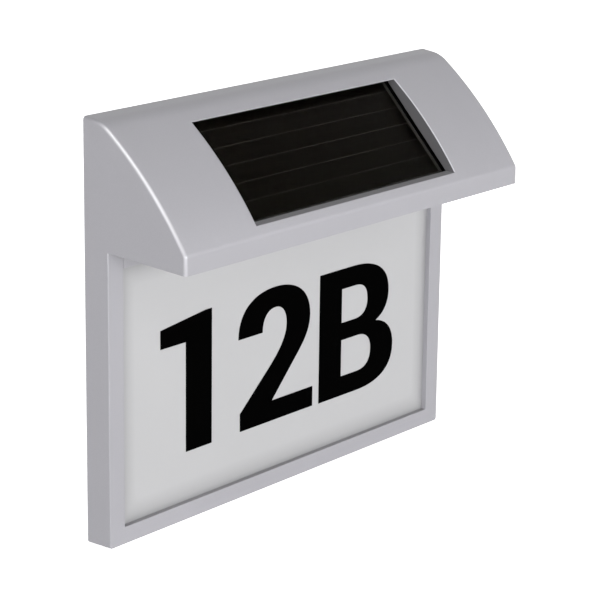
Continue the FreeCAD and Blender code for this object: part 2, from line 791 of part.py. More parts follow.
def control_board():
    board = block(-board_length / 2, board_length / 2, board_rear, board_rear + board_width, board_bottom, board_top)
    holes = [rod_up(x, depth, board_screw["shank_r"] + shank_gap, board_bottom - 1, board_top + 1)
             for x, depth in BOARD_SCREWS]
    return board.cut(holes)


def board_components():
    middle = board_rear + board_parts_place * board_width
    pieces = []
    for x, length, width, height in board_blocks:
        pieces.append(block(x - length / 2, x + length / 2, middle - width / 2, middle + width / 2,
                            board_top, board_top + height))
    pieces.append(rod_up(capacitor_x, middle, capacitor_radius, board_top, board_top + capacitor_height))
    return group(pieces)


def switch_body():
    x0, x1 = switch_x - switch_length / 2, switch_x + switch_length / 2
    depth0, depth1 = switch_depth - switch_width / 2, switch_depth + switch_width / 2
    body = block(x0, x1, depth0, depth1, base_top, base_top + switch_height)
    channel = (slider_foot_length + switch_travel) / 2 + slider_gap
    across = slider_foot_width / 2 + slider_gap
    hollow = block(switch_x - channel, switch_x + channel, switch_depth - across, switch_depth + across,
                   base_top - 1, base_top + slider_foot_height + 2 * slider_gap)
    return body.cut(hollow)


def switch_slider():
    x = switch_x - switch_travel / 2
    foot = block(x - slider_foot_length / 2, x + slider_foot_length / 2, switch_depth - slider_foot_width / 2,
                 switch_depth + slider_foot_width / 2, base_top + slider_gap,
                 base_top + slider_gap + slider_foot_height)
    knob_top = base_bottom - slider_gap
    stem = block(x - slider_stem_length / 2, x + slider_stem_length / 2, switch_depth - slider_stem_width / 2,
                 switch_depth + slider_stem_width / 2, knob_top, base_top + slider_gap)
    knob = block(x - knob_length / 2, x + knob_length / 2, switch_depth - knob_width / 2,
                 switch_depth + knob_width / 2, knob_top - knob_height, knob_top)
    grooves = []
    for i in range(knob_grooves):
        middle = x + knob_length * ((i + 1) / (knob_grooves + 1) - 0.5)
        grooves.append(block(middle - knob_groove_width / 2, middle + knob_groove_width / 2,
                             switch_depth - knob_width, switch_depth + knob_width,
                             knob_top - knob_height - 1, knob_top - knob_height + knob_groove_depth))
    return joined([foot, stem, knob]).cut(grooves)


# --- fasteners -------------------------------------------------------------------------------------------
def case_screws():
    return group([screw(at(x, well_depth, height), OUTWARD, case_screw) for x, height in CASE_SCREWS])


def base_screws():
    return group([screw(at(x, depth, base_bottom), UPWARD, base_screw) for x, depth in BASE_SCREWS])


def door_screws():
    places = [at(x, door_head_bearing(), cell_height) for x in (-door_screw_x, door_screw_x)]
    return group([screw(place, OUTWARD, door_screw) for place in places])


def board_screws():
    return group([screw(at(x, depth, board_top), UPWARD * -1, board_screw) for x, depth in BOARD_SCREWS])


# --- leads -----------------------------------------------------------------------------------------------
def solar_leads():
    start = on_slope(lead_hole_place, film_rear)
    bend = on_slope(lead_hole_place, film_rear - solar_lead_drop)
    return lead([at(0, *start), at(0, *bend), at(0, bend[0], board_top)], RIBBON)


def battery_leads():
    wires = []
    for side in (-1, 1):
        tail = side * (bay_half + trough_wall + tail_length)
        out = tail + side * battery_lead_reach
        depth, height = cell_depth + tail_offset, cell_height - tail_offset
        wires.append(lead([
            at(tail, depth, height), at(out, depth, height), at(out, battery_lead_depth, board_middle),
            at(side * board_length / 2, battery_lead_depth, board_middle),
        ], WIRE))
    return group(wires)


def led_leads():
    return lead([
        at(0, led_lead_depth, led_board_top), at(0, led_lead_depth, board_middle),
        at(0, board_rear, board_middle),
    ], RIBBON)


def switch_leads():
    return block(board_length / 2, switch_x - switch_length / 2, switch_depth - ribbon_width / 2,
                 switch_depth + ribbon_width / 2, board_middle - ribbon_thickness / 2,
                 board_middle + ribbon_thickness / 2)


NODES = [
    front_housing, back_plate, number_panel, light_guide, reflector_sheet,
    led_board, leds, solar_glass, solar_film, solar_tape,
    hood_base, control_board, board_components, switch_body, switch_slider,
    battery_cells, battery_contacts, battery_door, door_seal,
    case_screws, base_screws, door_screws, board_screws,
    solar_leads, battery_leads, led_leads, switch_leads,
]

os.makedirs("parts", exist_ok=True)
for make in NODES:
    shape = make()
    shape.exportStep("parts/" + make.__name__ + ".step")
    print(make.__name__, len(shape.Solids), "solid(s)", round(shape.Volume, 1), "mm3", shape.isValid())
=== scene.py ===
# %% [markdown]
# # A solar house number sign
# The sign is a silver-painted moulding: a frame round an opal panel that shows the number, and over it a
# curved hood that carries a solar module. The solids come from the CAD model, which is the fixed frame here.
# This file gives them their looks: a smoother skin for the moulding, the stick-on figures, real screw heads
# and a finish for every surface.

import math

import bmesh
import bpy
import numpy as np
from mathutils import Matrix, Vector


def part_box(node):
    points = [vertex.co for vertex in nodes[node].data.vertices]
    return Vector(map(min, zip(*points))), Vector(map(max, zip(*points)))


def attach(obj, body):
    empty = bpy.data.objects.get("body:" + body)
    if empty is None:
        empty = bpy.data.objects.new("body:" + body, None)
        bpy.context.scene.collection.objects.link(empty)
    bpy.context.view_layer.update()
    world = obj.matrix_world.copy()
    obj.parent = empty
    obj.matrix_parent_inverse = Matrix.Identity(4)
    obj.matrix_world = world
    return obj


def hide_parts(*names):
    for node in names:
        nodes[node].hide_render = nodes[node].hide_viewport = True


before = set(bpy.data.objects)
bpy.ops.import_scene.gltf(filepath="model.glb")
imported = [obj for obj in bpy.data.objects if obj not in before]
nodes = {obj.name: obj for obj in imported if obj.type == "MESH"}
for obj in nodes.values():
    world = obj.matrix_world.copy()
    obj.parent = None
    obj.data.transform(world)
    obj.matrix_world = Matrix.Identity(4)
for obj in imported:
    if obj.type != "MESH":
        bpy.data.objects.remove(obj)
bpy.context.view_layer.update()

# %% [markdown]
# ## Measures
# Lengths are written in millimetres, as on a drawing, by the distance x across from the middle, the depth
# out from the wall and the height above the bottom edge. `place` turns arrays of them into metres in the
# model's frame, where -Y points out of the wall.

# %% Sizes of the moulding
MM = 0.001
housing_low, housing_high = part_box("front_housing")
sign_height = (housing_high.z - housing_low.z) / MM
half_width = housing_high.x / MM
hood_depth = -housing_low.y / MM
frame_depth, wall = 11.2, 2.0
hood_edge, eaves = 107.5, 109.8
flat_strip = 0.3  # a face this wide beside each rounding keeps its shading even
near = 0.01  # for comparing measures that differ by rounding only


def place(x, depth, height):
    """Points in metres from x, depth and height in mm: (x, -depth, height - half the sign's height)."""
    x, depth, height = np.broadcast_arrays(x, depth, height)
    return np.stack([x, -depth, height - sign_height / 2], axis=-1) * MM


print("sign in mm", np.round([half_width * 2, sign_height, hood_depth], 2))

# %% [markdown]
# ## The camera
# The photograph was matched to the model by the corners of the frame and the outline of the hood. It was
# taken from the left, a little above, with a long lens, so the sides converge only slightly.

# %% Camera
def in_scene(name, data):
    """An object for the data, put into the scene."""
    made = bpy.data.objects.new(name, data)
    bpy.context.scene.collection.objects.link(made)
    return made


camera_data = bpy.data.cameras.new("camera")
camera_data.sensor_width = 36
camera_data.lens = 143.1
camera = in_scene("camera", camera_data)
bpy.context.scene.camera = camera

azimuth, elevation, roll = math.radians(51.30), math.radians(15.19), -0.012785
camera_place = np.array([-685.0, -565.6, 233.6]) * MM
forward = np.array([math.sin(azimuth) * math.cos(elevation), math.cos(azimuth) * math.cos(elevation),
                    -math.sin(elevation)])
right = np.cross(forward, [0, 0, 1])
right /= np.linalg.norm(right)
down = np.cross(forward, right)
image_x = math.cos(roll) * right + math.sin(roll) * down
image_down = -math.sin(roll) * right + math.cos(roll) * down
turn = np.eye(4)
turn[:3, 0], turn[:3, 1], turn[:3, 2] = image_x, -image_down, -forward
turn[:3, 3] = camera_place
camera.matrix_world = Matrix(turn.tolist())
print("camera stands", np.linalg.norm(camera_place).round(3), "m away")

# %% [markdown]
# ## Small helpers for meshes
# Every new piece is worked out as whole arrays of points. `sheet_faces` gives the faces of a grid of points,
# and `Shell` gathers several grids and flat outlines into one mesh, whose doubled points are merged so that
# it is closed.

# %% Mesh helpers
def sheet_faces(rows, columns, keep=None, around=False):
    """Quads of a grid numbered row by row: cell (i, j) joins (i, j), (i, j+1), (i+1, j+1), (i+1, j)."""
    i, j = np.meshgrid(np.arange(rows - 1), np.arange(columns if around else columns - 1), indexing="ij")
    after = (j + 1) % columns
    quads = np.stack([i * columns + j, i * columns + after,
                      (i + 1) * columns + after, (i + 1) * columns + j], -1)
    return quads[keep] if keep is not None else quads.reshape(-1, 4)


def clean(data, merge):
    """Merges a mesh's doubled points, turns its normals outwards and counts the edges that stay open."""
    bm = bmesh.new()
    bm.from_mesh(data)
    bmesh.ops.remove_doubles(bm, verts=bm.verts, dist=merge)
    bmesh.ops.dissolve_degenerate(bm, edges=bm.edges, dist=merge / 10)
    bmesh.ops.recalc_face_normals(bm, faces=bm.faces)
    open_edges = sum(edge.is_boundary for edge in bm.edges)
    bm.to_mesh(data)
    bm.free()
    return open_edges


class Shell:
    """Points and faces of one piece, added patch by patch."""

    def __init__(self):
        self.points, self.faces = [], []
        self.count = 0

    def grid(self, points, keep=None, around=False, flip=False):
        rows, columns = points.shape[:2]
        quads = sheet_faces(rows, columns, keep, around) + self.count
        self.add(points.reshape(-1, 3), (quads[:, ::-1] if flip else quads).tolist())

    def outline(self, points):
        self.add(np.asarray(points), [(np.arange(len(points)) + self.count).tolist()])

    def closed(self, points):
        """A grid closed round its columns, with a face over its first and its last row."""
        self.grid(points, around=True)
        self.outline(points[0])
        self.outline(points[-1])

    def add(self, points, faces):
        self.points.append(points)
        self.faces += faces
        self.count += len(points)

    def mesh(self, name, sharp_angle=32, merge=1e-6):
        """The mesh, with doubles merged, normals turned outwards and edges over the angle kept crisp."""
        data = bpy.data.meshes.new(name)
        data.from_pydata(np.concatenate(self.points).tolist(), [], self.faces)
        piece = in_scene(name, data)
        open_edges = clean(data, merge)
        data.shade_smooth()
        data.set_sharp_from_angle(angle=math.radians(sharp_angle))
        print(name, len(data.vertices), "points,", len(data.polygons), "faces,", open_edges, "open edges")
        return piece


print("a grid of 3 x 4 points has", len(sheet_faces(3, 4)), "faces")

# %% [markdown]
# ## The hood
# From the side the hood is a nearly flat top, a brow, one long curve and a small lip. Its skin could be cut
# from the CAD mesh, but that is faceted, and a painted edge shows every facet in its highlight. So the
# section is worked out again, with its normals, and carried across the sign. Towards each end the section
# shrinks along its normals while x follows a quarter circle, which gives the rounded edge.

# %% The hood's section
roof_depth, roof_fall = 8.4, 0.12
curve_radius, brow_radius, lip_radius, lip_height = 154.0, 14.0, 3.0, 7.0
end_radius, edge_radius = 1.4, 0.4


def curve_centre():
    """Centre of the big curve, from its two end points and its radius."""
    top = np.array([roof_depth, sign_height - roof_fall * roof_depth])
    low = np.array([hood_depth, hood_edge + lip_height])
    run, drop = low - top
    chord = math.hypot(run, drop)
    back = math.sqrt(curve_radius ** 2 - (chord / 2) ** 2)
    return (top + low) / 2 + back * np.array([drop, -run]) / chord


centre = curve_centre()
slope = math.atan(roof_fall)
roof_normal = np.array([math.sin(slope), math.cos(slope)])
roof_run = np.array([math.cos(slope), -math.sin(slope)])
start = np.array([0, sign_height]) - roof_normal * brow_radius
half = (start - centre) @ roof_run
rest = (start - centre) @ (start - centre) - (curve_radius - brow_radius) ** 2
brow_centre = start + roof_run * (-half + math.sqrt(half ** 2 - rest))
brow_end = math.atan2(*(brow_centre - centre)[::-1])
lip_rise = math.sqrt((curve_radius - lip_radius) ** 2 - (hood_depth - lip_radius - centre[0]) ** 2)
lip_centre = np.array([hood_depth - lip_radius, centre[1] + lip_rise])
lip_start = math.atan2(lip_rise, hood_depth - lip_radius - centre[0])
print("curve centre", centre.round(2), "ends in degrees", np.degrees([brow_end, lip_start]).round(1))

# %% [markdown]
# ## The solar recess
# The module lies in a shallow tub. Its rim is cut along the curved hood, and its walls run straight back to
# the flat glass. Points of the tub are given by how far down the slope and how far off the chord between its
# upper and lower rim they are.

# %% Frame of the recess
solar_half, solar_top, solar_low = 60.0, 14.7, 45.0
recess_depth, floor_off = 3.0, -5.5
tub_wall, rim_radius = 1.6, 0.35


def on_curve(depth):
    return np.array([depth, centre[1] + math.sqrt(curve_radius ** 2 - (depth - centre[0]) ** 2)])


upper_rim, lower_rim = on_curve(solar_top), on_curve(solar_low)
slope_length = float(np.linalg.norm(lower_rim - upper_rim))
slope_run = (lower_rim - upper_rim) / slope_length
slope_off = np.array([-slope_run[1], slope_run[0]])
chord_height = math.sqrt(curve_radius ** 2 - (slope_length / 2) ** 2)
shift = recess_depth * slope_run[0] / slope_off[0]


def slope_points(x, along, off):
    """Points in metres from x, distance down the slope and distance off its chord, all in mm."""
    depth = upper_rim[0] + slope_run[0] * along + slope_off[0] * off
    height = upper_rim[1] + slope_run[1] * along + slope_off[1] * off
    return place(x, depth, height)


def curve_angle(along, radius):
    """Angle about the curve's centre of the point of a circle that lies at a distance down the slope."""
    off = math.sqrt(radius ** 2 - (along - slope_length / 2) ** 2) - chord_height
    point = upper_rim + slope_run * along + slope_off * off
    return math.atan2(*(point - centre)[::-1])


print("recess", round(2 * solar_half, 1), "x", round(slope_length, 2), "mm")

# %% Stations along the section and across the sign
def directions(angle):
    """Unit vectors (cos, sin), in depth and height, of an array of angles."""
    return np.stack([np.cos(angle), np.sin(angle)], -1)


rim_angles = [curve_angle(-rim_radius, curve_radius), curve_angle(slope_length + rim_radius, curve_radius)]
tub_angles = [curve_angle(-shift - tub_wall, curve_radius - wall),
              curve_angle(slope_length - shift + tub_wall, curve_radius - wall)]
dent_span = 0.03  # radians above the lip that take finer steps, for the sink marks
dent_angles = lip_start + np.linspace(0.0, dent_span, 13)[1:]
long_angles = np.linspace(brow_end, lip_start, 61)
angles = np.unique(np.concatenate([long_angles, rim_angles, tub_angles, dent_angles]).round(9))[::-1]

brow = np.linspace(math.pi / 2 - slope, brow_end, 15)
lip = np.linspace(lip_start, 0, 15)
brow_out, curve_out, lip_out = directions(brow), directions(angles[1:-1]), directions(lip)
normals = np.concatenate([[roof_normal, roof_normal], brow_out, curve_out, lip_out, [[1.0, 0.0], [1.0, 0.0]]])
section = np.concatenate([
    [[0, sign_height], brow_centre + roof_normal * brow_radius - roof_run * flat_strip],
    brow_centre + brow_radius * brow_out,
    centre + curve_radius * curve_out,
    lip_centre + lip_radius * lip_out,
    [[hood_depth, lip_centre[1] - flat_strip], [hood_depth, hood_edge]],
])
section_angles = np.arctan2(section[:, 1] - centre[1], section[:, 0] - centre[0])
inner_half = 98.0
dent_x, dent_columns = 83.3, np.linspace(-3.4, 3.4, 18)
right_x = [solar_half + rim_radius, solar_half + tub_wall, inner_half, inner_half + flat_strip]
across = np.sort(np.concatenate([-np.array(right_x), np.linspace(-45, 45, 7), right_x,
                                 dent_columns - dent_x, dent_columns + dent_x]))
print(len(section), "points along the section,", len(across), "across")

# %% [markdown]
# ## Sink marks
# Two thick pillars inside the hood take the screws of its base. Where they meet the skin, the plastic
# shrank as it cooled and left two faint dents near the lip, which the photograph shows.

# %% Skin of the hood
dent_depth, dent_reach = 0.10, 3.2
dent_place = np.array([46.0, 115.6])


def hood_skin(x, inset):
    """Grid of points: the section moved inwards along its normals by each column's inset, at each column's x.
    The lower end follows the sloping rim and the rear end stays on the wall's plane."""
    moved = section[:, None, :] - normals[:, None, :] * inset[None, :, None]
    depth, height = moved[..., 0], moved[..., 1]
    height[-1] = hood_edge + (hood_depth - depth[-1]) * (eaves - hood_edge) / (hood_depth - frame_depth)
    distance = np.sqrt((np.abs(x) - dent_x) ** 2 + ((section - dent_place) ** 2).sum(-1)[:, None])
    dent = dent_depth * np.clip(1 - (distance / dent_reach) ** 2, 0, 1) ** 2 * (inset < near)
    depth = np.maximum(depth - normals[:, :1] * dent, 0)
    height = height - normals[:, 1:] * dent
    return place(x[None, :], depth, height)


quarter = np.linspace(0, math.pi / 2, 9)
end_x = np.concatenate([half_width - end_radius * (1 - np.sin(quarter)), [half_width]])
end_inset = np.concatenate([end_radius * (1 - np.cos(quarter)), [end_radius + flat_strip]])
column_x = np.concatenate([-end_x[::-1], across, end_x])
column_inset = np.concatenate([end_inset[::-1], np.zeros(len(across)), end_inset])
outer_skin = hood_skin(column_x, column_inset)
inner_x = across[1:-1]
inner_skin = hood_skin(inner_x, np.full(len(inner_x), wall))


def hole_cells(x, angle_range, half):
    """Which cells of a skin are kept: all but those inside the opening of that half width and angle range."""
    middle_x = (x[1:] + x[:-1]) / 2
    middle_angle = (section_angles[1:] + section_angles[:-1]) / 2
    in_height = (middle_angle < angle_range[0]) & (middle_angle > angle_range[1])
    return ~((np.abs(middle_x) < half)[None, :] & in_height[:, None])


outer_keep = hole_cells(column_x, rim_angles, solar_half + rim_radius)
inner_keep = hole_cells(inner_x, tub_angles, solar_half + tub_wall)
print("skin of", outer_skin.shape[:2], "points, opening of", int((~outer_keep).sum()), "cells")

# %% [markdown]
# ## Closing the hood's shell
# The moulding is 2 mm thick, so an inner skin lies under the outer one. Both have an opening for the tub, and
# flat strips join them along the lower rim and along the rear, so that the shell is closed.

# %% Walls of the recess and of the tub that holds it
def ring_order(keep):
    """Index arrays (row, column) that walk round a skin's opening, clockwise from its upper left corner."""
    rows, columns = np.nonzero(~keep)
    top, low, left, far = rows.min(), rows.max() + 1, columns.min(), columns.max() + 1
    row = np.concatenate([np.full(far - left, top), np.arange(top, low), np.full(far - left, low),
                          np.arange(low, top, -1)])
    column = np.concatenate([np.arange(left, far), np.full(low - top, far), np.arange(far, left, -1),
                             np.full(low - top, left)])
    return row, column


def recess_rings():
    """Rings of points from the rim inwards: a quarter circle over the rim, a wall that runs straight back to
    the glass, then square to the glass down to the floor. Each ring keeps the opening's outline."""
    row, column = ring_order(outer_keep)
    x = column_x[column] / (solar_half + rim_radius)
    away = section[row] - upper_rim
    along = (away @ slope_run - slope_length / 2) / (slope_length / 2 + rim_radius)
    rings = []
    for turn_in in np.linspace(0, math.pi / 2, 6):
        out = rim_radius * (1 - math.sin(turn_in))
        under = rim_radius * (1 - math.cos(turn_in))
        at = slope_length / 2 + along * (slope_length / 2 + out)
        bulge = np.sqrt(curve_radius ** 2 - (at - slope_length / 2) ** 2) - chord_height
        rings.append((x * (solar_half + out), at, bulge - under))
    rim_x, rim_at, rim_off = rings[-1]
    foot = rim_at - shift
    for share in (0.08, 0.5, 1.0):  # a first narrow face beside the rim's rounding
        rings.append((rim_x, rim_at + (foot - rim_at) * share, rim_off + (-recess_depth - rim_off) * share))
    rings.append((rim_x, foot, floor_off))
    return np.stack([slope_points(*ring) for ring in rings])


def tub_rings():
    """The tub's outer wall: from the inner skin's opening, square to the glass, to the tub's underside."""
    row, column = ring_order(inner_keep)
    rim = inner_skin[row, column]
    moved = section[row] - normals[row] * wall - upper_rim
    along = moved @ slope_run
    return np.stack([rim, slope_points(inner_x[column], along, floor_off - tub_wall)])


hood = Shell()
hood.grid(outer_skin, outer_keep)
hood.grid(inner_skin, inner_keep, flip=True)
recess = recess_rings()
hood.grid(recess, around=True)
hood.outline(recess[-1])
tub = tub_rings()
hood.grid(tub, around=True)
hood.outline(tub[-1])
print("recess rings", recess.shape[0], "of", recess.shape[1], "points")

# %% Ends, lower rim and rear rim
first_inner = int(np.argmin(np.abs(column_x + (half_width - wall))))
last_inner = len(column_x) - 1 - first_inner
for end, side in ((0, -1), (-1, 1)):
    x_out, x_in = side * half_width, side * (half_width - wall)
    foot_out = place(x_out, [frame_depth, 0], eaves)
    foot_in = place(x_in, [frame_depth, 0], eaves)
    hood.outline(np.concatenate([outer_skin[:, end], foot_out]))
    hood.outline(np.concatenate([inner_skin[:, end], foot_in]))
    corner = slice(0, first_inner + 1) if side < 0 else slice(None, last_inner - 1, -1)
    for row in (-1, 0):
        hood.outline(np.concatenate([outer_skin[row, corner], inner_skin[[row], end]]))
    hood.outline([outer_skin[-1, end], foot_out[0], foot_in[0], inner_skin[-1, end]])
    hood.outline([foot_out[0], foot_out[1], foot_in[1], foot_in[0]])
    hood.outline([outer_skin[0, end], foot_out[1], foot_in[1], inner_skin[0, end]])
for row in (0, -1):
    hood.grid(np.stack([outer_skin[row, first_inner:last_inner + 1], inner_skin[row]]))
print("hood of", len(hood.faces), "faces")

# %% [markdown]
# ## The frame
# Under the hood the moulding is a frame with an L-shaped section: a 2 mm wall that stands off the wall and a
# flange in front that holds the panel. The section is carried down one side, round the two lower corners
# and up the other side. The border is 7.8 mm wide at the sides and 6.5 mm at the bottom, so each point of the
# section has two offsets, and its own radius at the corners.

# %% Frame section and path
side_border, bottom_border, flange_rear, window_top = 7.8, 6.5, 9.0, 102.8
corner_radius, window_edge, window_strip = 1.2, 0.25, 0.2
flange_top = 110.8


def frame_section():
    """Rows of (offset at the sides, offset at the bottom, depth, corner radius), once round the L."""
    rows = [(0, 0, 0, corner_radius), (0, 0, frame_depth - edge_radius - flat_strip, corner_radius)]
    for angle in quarter:
        out = edge_radius * (1 - math.cos(angle))
        rows.append((out, out, frame_depth - edge_radius * (1 - math.sin(angle)), corner_radius - out))
    outer_strip, inner_strip, inner_corner = edge_radius + flat_strip, window_edge + flat_strip, 0.5
    rows.append((outer_strip, outer_strip, frame_depth, corner_radius - edge_radius))
    rows.append((side_border - inner_strip, bottom_border - inner_strip, frame_depth, inner_corner))
    for angle in np.linspace(0, math.pi / 2, 5):
        back = window_edge * (1 - math.sin(angle))
        rows.append((side_border - back, bottom_border - back,
                     frame_depth - window_edge * (1 - math.cos(angle)), inner_corner))
    rows.append((side_border, bottom_border, frame_depth - window_edge - window_strip, inner_corner))
    rows.append((side_border, bottom_border, flange_rear, inner_corner))
    rows.append((wall, wall, flange_rear, inner_corner))
    rows.append((wall, wall, 0, inner_corner))
    return np.array(rows, float)


def frame_sweep():
    """Each point of the section follows its own path: down at x = -half + offset, round an arc, along, up."""
    side, low, depth, radius = frame_section().T[:, :, None]
    turn_angles = np.linspace(math.pi, 1.5 * math.pi, 9)
    left_x = -half_width + side + radius * (1 + np.cos(turn_angles))
    left_height = low + radius * (1 + np.sin(turn_angles))
    top = np.full_like(side, eaves)
    x = np.concatenate([-half_width + side, left_x, -left_x[:, ::-1], half_width - side], axis=1)
    height = np.concatenate([top, left_height, left_height[:, ::-1], top], axis=1)
    return place(x, depth, height)


frame_ring = frame_sweep()
hood.grid(np.concatenate([frame_ring, frame_ring[:1]]))
hood.outline(frame_ring[:, 0])
hood.outline(frame_ring[:, -1])
print("frame ring of", frame_ring.shape[:2], "points")


# %% Bar over the window
def bar(half_length, outline):
    """A prism across the sign: the outline's (depth, height) points at both ends, joined and capped."""
    depth, height = np.array(outline, float).T
    hood.closed(np.stack([place(side * half_length, depth, height) for side in (-1, 1)]))


rounding = np.linspace(0, math.pi / 2, 5)
lower_bar = [(flange_rear, eaves), (flange_rear, window_top)]
lower_bar += [(frame_depth - window_edge * (1 - math.sin(a)), window_top + window_edge * (1 - math.cos(a)))
              for a in rounding]
lower_bar += [(frame_depth, window_top + window_edge + flat_strip), (frame_depth, eaves)]
bar(half_width - side_border, lower_bar)
bar(half_width - wall, [(flange_rear, eaves), (frame_depth, eaves), (frame_depth, flange_top),
                        (flange_rear, flange_top)])

moulding = hood.mesh("silver_moulding")
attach(moulding, "sign")
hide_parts("front_housing")

# %% [markdown]
# ## The stick-on figures
# House numbers on such panels are cut from black vinyl film. Each figure is a flat curve with straight runs
# and smooth bows, filled, a tenth of a millimetre thick, and turned into a mesh that lies on the panel.

# %% Outlines of the figures
panel_front = 9.0
vinyl_thickness = 0.12


def outline(start, *steps):
    """A closed outline in mm: a step of two numbers is a straight run to that point, one of three points is a
    bow, the cubic (1-t)^3 a + 3(1-t)^2 t b + 3(1-t) t^2 c + t^3 d with its two handles and its end."""
    points = [np.array([start], float)]
    t = np.linspace(0, 1, 15)[1:, None]
    for step in steps:
        if isinstance(step[0], tuple):
            a, (b, c, d) = points[-1][-1], np.array(step, float)
            points.append((1 - t) ** 3 * a + 3 * (1 - t) ** 2 * t * b + 3 * (1 - t) * t ** 2 * c + t ** 3 * d)
        else:
            points.append(np.array([step], float))
    return np.concatenate(points)


low, high = 25.5, 78.0
crown = high + 0.7
one = [outline((-56.8, low), (-42.3, low), (-42.3, high), (-45.6, high), (-70.7, 75.0), (-70.7, 67.9),
               (-56.8, 67.9))]
two = [outline((-25.9, low), (18.1, low), (18.1, 33.6), (-7.0, 33.6), (3.6, 44.4),
               ((10.6, 51.6), (16.1, 56.0), (16.1, 63.6)), ((16.1, 73.0), (8.0, crown), (-5.0, crown)),
               ((-18.0, crown), (-27.0, 73.2), (-27.0, 62.0)), (-12.8, 62.0),
               ((-12.8, 67.6), (-9.6, 70.6), (-5.2, 70.6)), ((-1.0, 70.6), (1.7, 67.8), (1.7, 63.0)),
               ((1.7, 57.6), (-2.2, 53.0), (-8.4, 47.5)), (-25.9, 32.6))]
letter = [outline((22.1, low - 0.2), (46.5, low - 0.2), ((60.5, low - 0.2), (70.3, 29.6), (70.3, 39.6)),
                  ((70.3, 46.4), (66.2, 50.8), (58.5, 52.0)), ((64.4, 54.2), (67.0, 58.2), (67.0, 63.3)),
                  ((67.0, 72.6), (58.4, high - 0.5), (43.5, high - 0.5)), (22.1, high - 0.5)),
          outline((36.2, 69.3), (44.6, 69.3), ((50.6, 69.3), (53.0, 66.8), (53.0, 62.3)),
                  ((53.0, 57.9), (50.4, 55.4), (44.4, 55.4)), (36.2, 55.4)),
          outline((36.2, 48.3), (46.4, 48.3), ((52.6, 48.3), (55.5, 45.6), (55.5, 40.9)),
                  ((55.5, 36.1), (52.6, 33.3), (46.6, 33.3)), (36.2, 33.3))]


def figure(name, outlines):
    """Cuts a figure from vinyl film: a flat filled curve with some thickness, made a mesh on the panel."""
    curve = bpy.data.curves.new(name, "CURVE")
    curve.dimensions, curve.fill_mode, curve.extrude = "2D", "BOTH", vinyl_thickness / 2 * MM
    for points in outlines:
        spline = curve.splines.new("POLY")
        spline.points.add(len(points) - 1)
        spline.points.foreach_set("co", np.pad(points * MM, ((0, 0), (0, 2))).ravel())
        spline.use_cyclic_u = True
    flat = in_scene(name, curve)
    bpy.context.view_layer.update()
    data = bpy.data.meshes.new_from_object(flat.evaluated_get(bpy.context.evaluated_depsgraph_get()))
    bpy.data.objects.remove(flat)
    co = np.zeros(len(data.vertices) * 3)
    data.vertices.foreach_get("co", co)
    x, height, off = (co / MM).reshape(-1, 3).T
    data.vertices.foreach_set("co", place(x, panel_front + vinyl_thickness / 2 + off, height).ravel())
    data.update()
    piece = in_scene(name, data)
    open_edges = clean(data, 1e-7)
    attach(piece, "sign")
    print(name, len(data.polygons), "faces,", open_edges, "open edges")
    return piece


figures = [figure("figure_one", one), figure("figure_two", two), figure("figure_letter", letter)]

# %% [markdown]
# ## Screw heads
# The screws of the base, the back and the battery door are small pan heads with a cross recess. A head is a
# surface of revolution, a low dome that drops at its rim. The cross is pressed into the dome where a point
# lies within half a slot's width of one axis and within the slot's length of the other.

# %% Screws
def screw_surface(head_radius, head_height, shank_radius, length):
    """Grid of (radius, angle) points: x and y are the radius times cosine and sine, z the height over the
    bearing face. The dome is h (1 - 0.45 (r / R)^2.6), the cross sinks 0.6 h, the shank is pointed."""
    angle = np.linspace(0, 2 * math.pi, 65)[:-1]
    dome = np.concatenate([np.linspace(0.02, 0.72, 22), np.linspace(0.76, 1, 7)]) * head_radius
    r = np.repeat(dome[:, None], len(angle), 1)
    x, y = r * np.cos(angle), r * np.sin(angle)
    z = head_height * (1 - 0.45 * (r / head_radius) ** 2.6)
    slot_half, slot_long = head_radius * 0.13, head_radius * 0.56
    arm = np.minimum(np.abs(x), np.abs(y))
    reach = np.maximum(np.abs(x), np.abs(y))
    across_slot = np.clip((slot_half - arm) / (slot_half * 0.4), 0, 1)
    along_slot = np.clip((slot_long - reach) / slot_half, 0, 1)
    z = z - across_slot * along_slot * head_height * 0.6
    tail_r = np.array([head_radius, shank_radius, shank_radius, shank_radius * 0.05])
    tail_z = np.array([0, 0, -length + shank_radius, -length])
    tail = np.stack([tail_r[:, None] * np.cos(angle), tail_r[:, None] * np.sin(angle),
                     np.repeat(tail_z[:, None], len(angle), 1)], -1)
    return np.concatenate([np.stack([x, y, z], -1), tail])


def screws(name, node, spots, axis, sizes, spin):
    """One object for all screws of a kind; axis is the way a head faces, as (x, depth, height). Each screw is
    turned on by a fixed step from the last, as a hand would leave them."""
    points = screw_surface(*sizes)
    out = np.array(axis, float)
    side = np.array([1.0, 0, 0])
    up = np.cross(out, side)
    shell = Shell()
    for number, spot in enumerate(spots):
        angle = spin + spin_step * number
        turned_side = math.cos(angle) * side + math.sin(angle) * up
        turned_up = -math.sin(angle) * side + math.cos(angle) * up
        local = points @ np.stack([turned_side, turned_up, out]) + np.array(spot)
        shell.closed(place(local[..., 0], local[..., 1], local[..., 2]))
    piece = shell.mesh(name, sharp_angle=38, merge=1e-7)
    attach(piece, "door" if node == "door_screws" else "sign")
    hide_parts(node)
    return piece


